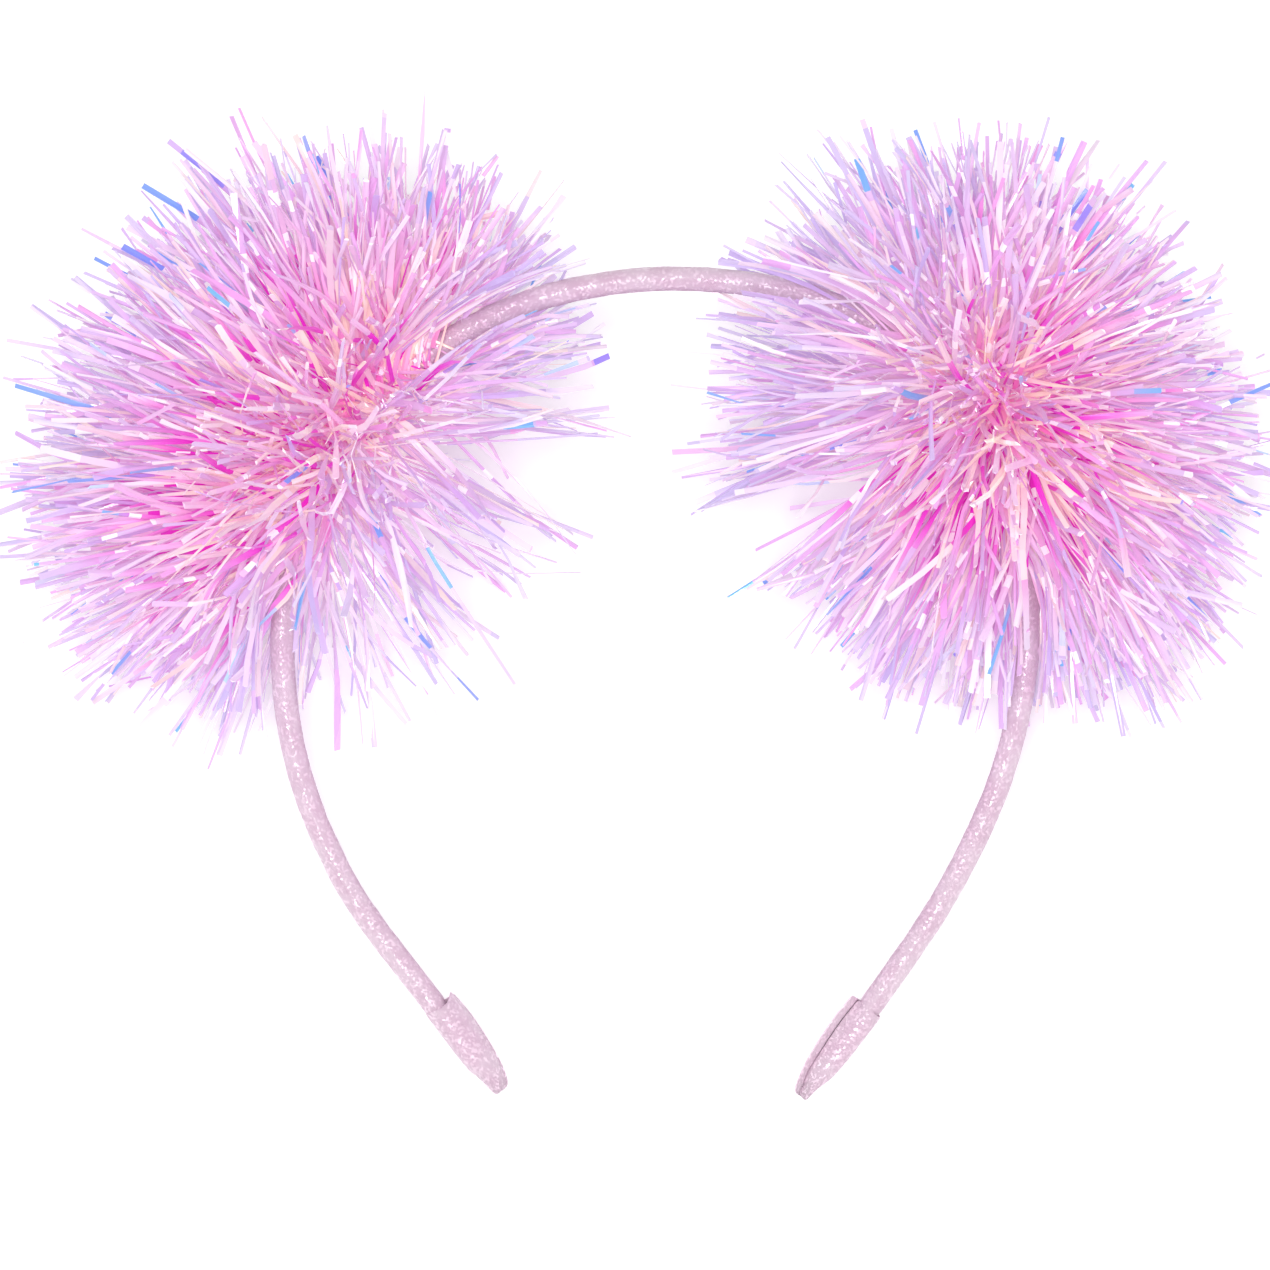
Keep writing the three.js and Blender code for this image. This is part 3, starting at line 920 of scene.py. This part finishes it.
# %% The inputs of a pompom
# What both pompoms have in common: shares, lengths in metres and a twist in radians.
POMPOM_HABITS = {
    "Front thinning": 0.35,
    "Shortest": 0.8,
    "Longest": 1.08,
    "Long share": 0.1,
    "Stray": 0.004,
    "Tufts": 5.0,
    "Tuft pull": 0.8,
    "Root spread": 0.004,
    "Front tangle": 1.0,
    "Bow": 0.004,
    "Crinkle": 0.0012,
    "Fold": 0.03,
    "Folded share": 0.08,
    "Twist": 4.0,
    "Strip width": 0.00088,
    "Strip crease": 0.00022,
    "Band clearance": 0.0034,
    "Table clearance": 0.0007,
}
OWN_SIZES = ["Ball radius", "Strips to a square metre", "Thinning", "Gap", "Parting"]
OWN_SIZES += ["Band shows before", "Band shows after", "Map columns", "Map rows"]
POMPOM_INPUTS = {
    "Object": ["Band line", "Tie line"],
    "Vector": ["Ball middle", "Along tie", "Facing", "Thin way", "Gap way", "Hot way"],
    "Float": [*OWN_SIZES, *POMPOM_HABITS],
    "Int": ["Points on a strip", "Seed"],
    "Material": ["Finish"],
}
given = new_tree("pompom strips", POMPOM_INPUTS)
ball = given["Geometry"]


def chance(salt, low=0.0, high=1.0):
    """A random number for each strip."""
    inputs = {2: low, 3: high, "Seed": given["Seed"] + salt}
    return ball.node("FunctionNodeRandomValue", {"data_type": "FLOAT"}, inputs, output=1)


def scatter(salt, size):
    """A random vector for each strip, up to this size each way."""
    inputs = {0: (-1, -1, -1), 1: (1, 1, 1), "Seed": given["Seed"] + salt}
    return scaled(ball.node("FunctionNodeRandomValue", {"data_type": "FLOAT_VECTOR"}, inputs), size)


def dropped(points, choice):
    """The points without the chosen ones."""
    return points.node("GeometryNodeDeleteGeometry", inputs={"Geometry": points, "Selection": choice})


def shape_of(guide):
    """The geometry of an input object."""
    return ball.node("GeometryNodeObjectInfo", inputs={"Object": given[guide]}, output="Geometry")


band_shape = shape_of("Band line")


def from_band(spot):
    """How a spot lies beside the band, as seen from the front."""
    height = dot(minus(spot, given["Ball middle"]), given["Facing"])
    flat = minus(spot, scaled(given["Facing"], height))
    inputs = {"Geometry": band_shape, "Sample Position": flat}
    nearest = spot.node("GeometryNodeProximity", {"target_element": "EDGES"}, inputs)
    return minus(flat, nearest)


# %% Tips on the ball and roots on the tie
# Where each part of a pompom fades in, as the cosine of the angle from its middle.
THIN_FROM_TO, THIN_TINT_FROM_TO = (0.25, 0.65), (-0.1, 0.35)
FRONT_FROM_TO, TANGLE_FROM_TO = (0.35, 0.8), (0.45, 0.9)
GAP_FROM_TO, HOT_FROM_TO = (0.2, 0.6), (0.45, 0.85)
# Longer strips are a little more common. Some tufts are longer, and strips in the front are shorter.
LENGTH_POWER = 0.7
TUFT_SHORTEST, TUFT_LONGER = 0.92, 0.13
FRONT_SHORTER, FRONT_STRAYS = 0.5, 1.5
EXTRA_LENGTH = 0.09
TUFT_PULLS = (0.4, 1.0)
TIE_LEAN, TIE_STRAY = 0.4, 0.2
TUFTS_COOLER, HOT_PART_HOTTER = 0.17, 0.6

spread = {"Mesh": ball, "Density": given["Strips to a square metre"], "Seed": given["Seed"]}
tips = ball.node("GeometryNodeDistributePointsOnFaces", inputs=spread)
place = tips.node("GeometryNodeInputPosition")
from_middle = minus(place, given["Ball middle"])
way = unit(from_middle)
to_thin_part = dot(way, given["Thin way"])
to_front = dot(way, given["Facing"])
thinned = given["Thinning"] * soft_step(to_thin_part, *THIN_FROM_TO)
front_thinned = given["Front thinning"] * soft_step(to_front, *FRONT_FROM_TO)
thinned = thinned.sum("MAXIMUM", thinned, front_thinned)
tips = dropped(tips, chance(1) < thinned)

in_front = given["Front tangle"] * soft_step(to_front, *TANGLE_FROM_TO)
tuft = tips.node("ShaderNodeTexVoronoi", None, {"Vector": way, "Scale": given["Tufts"]}, "Position")
tuft_chance = parts_of(tuft.out("Color"))
long_share = chance(2).sum("POWER", chance(2), LENGTH_POWER)
length = given["Shortest"] + (given["Longest"] - given["Shortest"]) * long_share
length = length * (TUFT_SHORTEST + TUFT_LONGER * tuft_chance)
length = length * (1 - FRONT_SHORTER * in_front * chance(14))
length = length * (1 + EXTRA_LENGTH * (chance(18) < given["Long share"]))
to_tuft = minus(unit(tuft), way)
pulled = scaled(to_tuft, given["Ball radius"] * given["Tuft pull"] * chance(17, *TUFT_PULLS))
tip = plus(from_middle, pulled)

stray = cross(way, scatter(3, given["Stray"] * (1 + FRONT_STRAYS * in_front)))
tip = plus(scaled(tip, length), stray)

gap_side = unit(cross(given["Facing"], given["Gap way"]))
beside_gap = dot(tip, gap_side)
in_gap = beside_gap.sum("MAXIMUM", given["Gap"] - beside_gap.sum("ABSOLUTE", beside_gap), 0.0)
in_gap = in_gap * soft_step(dot(way, given["Gap way"]), *GAP_FROM_TO)
tip = plus(tip, scaled(gap_side, in_gap * beside_gap.sum("SIGN", beside_gap)))
tip = plus(given["Ball middle"], tip)
tie_shape = shape_of("Tie line")
tie = tie_shape.node("GeometryNodeMeshToCurve", inputs={"Mesh": tie_shape})
tie_share = 0.5 + TIE_LEAN * dot(way, given["Along tie"]) + chance(15, -TIE_STRAY, TIE_STRAY)
tied = {"Curves": tie, "Factor": tie_share}
root = tie.node("GeometryNodeSampleCurve", {"mode": "FACTOR"}, tied, "Position")
root = plus(root, scatter(16, given["Root spread"]))
to_hot_part = soft_step(dot(way, given["Hot way"]), *HOT_FROM_TO)
thin = given["Thinning"] * soft_step(to_thin_part, *THIN_TINT_FROM_TO) * (1 - to_hot_part)
hot_tuft = tuft_chance - TUFTS_COOLER + HOT_PART_HOTTER * to_hot_part

# %% How each strip bends and turns, noted down for its points
# Where along a strip a fold can be, and a strip's width as a share of the usual one.
FOLD_FROM_TO = (0.4, 0.85)
WIDTH_FROM_TO = (0.55, 1.35)
LEAST_BOW = 0.5

sideways = cross(unit(scatter(11, 1.0)), unit(minus(tip, root)))
folded = given["Fold"] * (chance(10) < given["Folded share"])
arrow_facts = {
    "tip_side": unit(from_band(tip)),
    "tip": tip,
    "root": root,
    "bow": scatter(4, given["Bow"] * (LEAST_BOW + chance(5) * chance(6))),
    "fold": scaled(sideways, folded),
}
number_facts = {
    "fold_at": chance(12, *FOLD_FROM_TO),
    "wide": chance(13, *WIDTH_FROM_TO),
    "roll": chance(7, 0.0, 2 * math.pi),
    "twist": given["Twist"] * chance(8, -1.0, 1.0),
    "strip": chance(9),
}
colour_facts = {"thin": thin, "tuft": hot_tuft, "cell": tips.node("GeometryNodeInputIndex")}
for name, value in arrow_facts.items():
    tips = stored(tips, name, value, "FLOAT_VECTOR")
for name, value in {**number_facts, **colour_facts}.items():
    tips = stored(tips, name, value)

# %% Lines from root to tip
ROOT_GAP = 0.03
RIPPLES_TO_A_METRE = 110.0

straight_line = ball.node("GeometryNodeCurvePrimitiveLine", inputs={"End": (0, 0, 1)})
counted = {"Curve": straight_line, "Count": given["Points on a strip"]}
straight_line = straight_line.node("GeometryNodeResampleCurve", inputs=counted)
on_tips = {"Points": tips, "Instance": straight_line}
strips = tips.node("GeometryNodeInstanceOnPoints", inputs=on_tips)
strips = strips.node("GeometryNodeRealizeInstances", inputs={"Geometry": strips})
strips = stored(strips, "along", strips.node("GeometryNodeSplineParameter"))

share = ROOT_GAP + (1 - ROOT_GAP) * kept(strips, "along")
root = kept(strips, "root", "FLOAT_VECTOR")
line = between(root, kept(strips, "tip", "FLOAT_VECTOR"), share)
bow = scaled(kept(strips, "bow", "FLOAT_VECTOR"), share * (1 - share) * 4)
bowed = plus(line, bow)
past_fold = share.sum("MAXIMUM", share - kept(strips, "fold_at"), 0.0)
bowed = plus(bowed, scaled(kept(strips, "fold", "FLOAT_VECTOR"), past_fold))
rippling = {"Vector": bowed, "Scale": RIPPLES_TO_A_METRE}
ripple = strips.node("ShaderNodeTexNoise", inputs=rippling, output="Color")
ripple = scaled(minus(ripple, (0.5, 0.5, 0.5)), given["Crinkle"] * share)
bowed = plus(bowed, ripple)

# %% Above the table and clear of the band
# Strips on the table lie up to this many clearances higher than the lowest, as in a pile.
PILE_HEIGHT = 4
TABLE_SOFTNESS = 0.004

parts = parts_of(bowed)
lowest = given["Table clearance"] * (1 + PILE_HEIGHT * kept(strips, "strip"))
height = parts.sum("SMOOTH_MAX", parts.out("Z"), lowest, TABLE_SOFTNESS)
lifted = joined(parts.out("X"), parts.out("Y"), height)
strips = moved(strips, "Position", lifted)

nearest = strips.node("GeometryNodeProximity", {"target_element": "EDGES"}, {"Geometry": band_shape})
here = strips.node("GeometryNodeInputPosition")
away = unit(minus(here, nearest))
short_of_clear = here.sum("MAXIMUM", given["Band clearance"] - nearest.out("Distance"), 0.0)
strips = moved(strips, "Offset", scaled(away, short_of_clear))

# %% Part the strips in front of the band
# Lengths are in metres. PARTS_FROM_TO is in shares of the stretch that stays covered.
SIDE_CHANGES = 0.005
PARTS_FROM_TO = (0.8, 1.9)
OVER_BAND_FROM_TO = (-0.003, 0.001)
MOST_PARTINGS = 3

from_root = minus(here, root)
through = scaled(given["Facing"], dot(from_root, given["Facing"]))
in_plane = minus(from_root, through)
plane_reach = in_plane.node("ShaderNodeVectorMath", {"operation": "LENGTH"}, {0: in_plane}, "Value")
here_from_middle = minus(here, given["Ball middle"])
after = soft_step(dot(here_from_middle, given["Along tie"]), -SIDE_CHANGES, SIDE_CHANGES)
covered = given["Band shows before"] * (1 - after) + given["Band shows after"] * after
parted = soft_step(plane_reach, *[covered * part for part in PARTS_FROM_TO])
height_over = dot(here_from_middle, given["Facing"])
parted = parted * soft_step(height_over, *OVER_BAND_FROM_TO)
tip_side = kept(strips, "tip_side", "FLOAT_VECTOR")
beside = dot(from_band(here), tip_side)
too_near = here.sum("MAXIMUM", given["Parting"] - beside, 0.0)
too_near = too_near.sum("MINIMUM", too_near, given["Parting"] * MOST_PARTINGS)
strips = moved(strips, "Offset", scaled(tip_side, too_near * parted))

# %% How far out each point is, for the colours
SHARE_ALONG, SHARE_OUT = 0.45, 0.55
THIN_IS_PALER, ALL_IS_HOTTER = 0.4, 0.04

reach_share = SHARE_ALONG * kept(strips, "along") + SHARE_OUT * plane_reach / given["Ball radius"]
reach_share = reach_share + THIN_IS_PALER * kept(strips, "thin") - ALL_IS_HOTTER
strips = stored(strips, "reach", reach_share)

# %% Film along each line
rolled = kept(strips, "roll") + kept(strips, "twist") * kept(strips, "along")
strips = strips.node("GeometryNodeSetCurveTilt", inputs={"Curve": strips, "Tilt": rolled})
profile = ball.node("GeometryNodeCurvePrimitiveCircle", inputs={"Resolution": 3, "Radius": 1.0})
corner = profile.node("GeometryNodeInputIndex")
on_crease = corner < 0.5
profile = stored(profile, "crease", on_crease)
profile = stored(profile, "across", on_crease * 0.5 + (corner > 1.5))
flat = joined(given["Strip crease"] / 1.5, given["Strip width"] / math.sqrt(3), 1.0)
profile = profile.node("GeometryNodeTransform", inputs={"Geometry": profile, "Scale": flat})
wide = kept(strips, "wide")
sweep = {"Curve": strips, "Profile Curve": profile, "Scale": wide, "Fill Caps": True}
film_mesh = strips.node("GeometryNodeCurveToMesh", inputs=sweep)
flat_faces = {"Geometry": film_mesh, "Shade Smooth": False}
film_mesh = film_mesh.node("GeometryNodeSetShadeSmooth", inputs=flat_faces)

# %% A place of its own for each strip on a map
cell = kept(film_mesh, "cell")
columns = given["Map columns"]
column = cell.sum("MODULO", cell, columns)
row = cell.sum("FLOOR", cell / columns)
map_x = (column + 0.15 + 0.7 * kept(film_mesh, "across")) / columns
map_y = row + 0.04 + 0.86 * kept(film_mesh, "along") + 0.05 * kept(film_mesh, "crease")
map_place = joined(map_x, map_y / given["Map rows"])
film_mesh = stored(film_mesh, "OFBake", map_place, "FLOAT2", "CORNER")
pompom_tree = end_tree(film_mesh, given["Finish"])
print("nodes in the pompom's tree:", len(pompom_tree.nodes))

# %% Grow the pompoms
import bmesh

POMPOM_RADIUS = 50.0
POMPOM_DEPTH_SHARE = 0.9
STRIPS_OVER_BALL = 3400
MAP_COLUMNS = 128
MAP_SPARE = 1.1
# "reaches" is how far the tips are from the middle in eight ways, from the right round by the top.
# "tie" is how long the tied stretch is, and "tie_on" and "tie_out" how far it lies further along the
# arch and out of it.
POMPOMS = {
    "left": {
        "reaches": [46.5, 52.0, 49.5, 44.5, 49.0, 53.5, 50.5, 46.0],
        "outside": -4.0,
        "tie": 32.0,
        "tie_on": 0.0,
        "tie_out": 0.0,
        "thinning": 0.82,
        "seed": 3,
        "ways": {
            "Thin way": (0.75, -0.66, 0),
            "Gap way": (0.986, -0.164, 0),
            "Hot way": (-0.94, -0.22, 0.25),
        },
        "lengths": {"Gap": 8.5, "Band shows before": 9.0, "Band shows after": 2.6, "Parting": 3.4},
    },
    "right": {
        "reaches": [46.0, 45.0, 50.5, 51.0, 46.0, 41.0, 45.5, 52.5],
        "outside": -1.0,
        "tie": 14.0,
        "tie_on": -4.5,
        "tie_out": 5.5,
        "thinning": 0.5,
        "seed": 8,
        "ways": {
            "Thin way": (-0.99, 0.1, 0),
            "Gap way": (-0.915, -0.4, 0),
            "Hot way": (-0.45, -0.84, 0.3),
        },
        "lengths": {"Gap": 7.5, "Band shows before": 10.0, "Band shows after": 15.0, "Parting": 2.6},
    },
}


def ball_object(name, middle, reaches):
    """The outer form of a pompom, an uneven ball that is a little flat from front to back."""
    form = bmesh.new()
    bmesh.ops.create_icosphere(form, subdivisions=4, radius=1.0)
    eighths = np.linspace(0, 2 * math.pi, len(reaches) + 1)
    for vertex in form.verts:
        x, y, z = vertex.co
        angle = math.atan2(y, x) % (2 * math.pi)
        rim_reach = float(np.interp(angle, eighths, [*reaches, reaches[0]]))
        reach_here = POMPOM_RADIUS + (rim_reach - POMPOM_RADIUS) * math.hypot(x, y)
        vertex.co = to_table(middle + reach_here * Vector((x, y, z * POMPOM_DEPTH_SHARE)))
    area = sum(face.calc_area() for face in form.faces)
    mesh = bpy.data.meshes.new(name)
    form.to_mesh(mesh)
    form.free()
    return shown(name, mesh), area


band_guide = line_object("band_guide", [to_table(point) for point in arch_line])
for side, facts in POMPOMS.items():
    tie_distance = distance_at_height(POMPOM_UP, side)
    tie_middle, tie_way = on_arch(tie_distance)
    ball_middle = tie_middle + Vector((facts["outside"], 0, 0))
    stretch = np.linspace(-0.5, 0.5, 17) * facts["tie"] + tie_distance + facts["tie_on"]
    tie_shift = Vector((-tie_way.y, tie_way.x, 0)) * facts["tie_out"]
    tie_line = [to_table(on_arch(distance)[0] + tie_shift) for distance in stretch]
    tie_guide = line_object("tie_guide", tie_line)
    ball_maker, ball_area = ball_object("ball", ball_middle, facts["reaches"])
    ways = {label: (turn @ Vector(way)).normalized() for label, way in facts["ways"].items()}
    lengths = {label: length * MM for label, length in facts["lengths"].items()}
    pompom_values = {
        "Band line": band_guide,
        "Tie line": tie_guide,
        "Ball middle": to_table(ball_middle),
        "Ball radius": POMPOM_RADIUS * MM,
        "Along tie": turn @ tie_way,
        "Facing": facing,
        "Strips to a square metre": STRIPS_OVER_BALL / ball_area,
        "Thinning": facts["thinning"],
        "Points on a strip": 7,
        "Map columns": float(MAP_COLUMNS),
        "Map rows": float(math.ceil(STRIPS_OVER_BALL * MAP_SPARE / MAP_COLUMNS)),
        "Seed": facts["seed"],
        "Finish": tinsel_film,
        **ways,
        **lengths,
        **POMPOM_HABITS,
    }
    pompom = grown("pompom_strips_" + side, ball_maker, pompom_tree, pompom_values)
    bpy.data.objects.remove(tie_guide)
    # The finished mesh has no use for what only shaped the strips.
    for spare in (*arrow_facts, *number_facts, "crease", "across"):
        pompom.data.attributes.remove(pompom.data.attributes[spare])
    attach(pompom, "root")
    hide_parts("pompom_" + side)
bpy.data.objects.remove(band_guide)
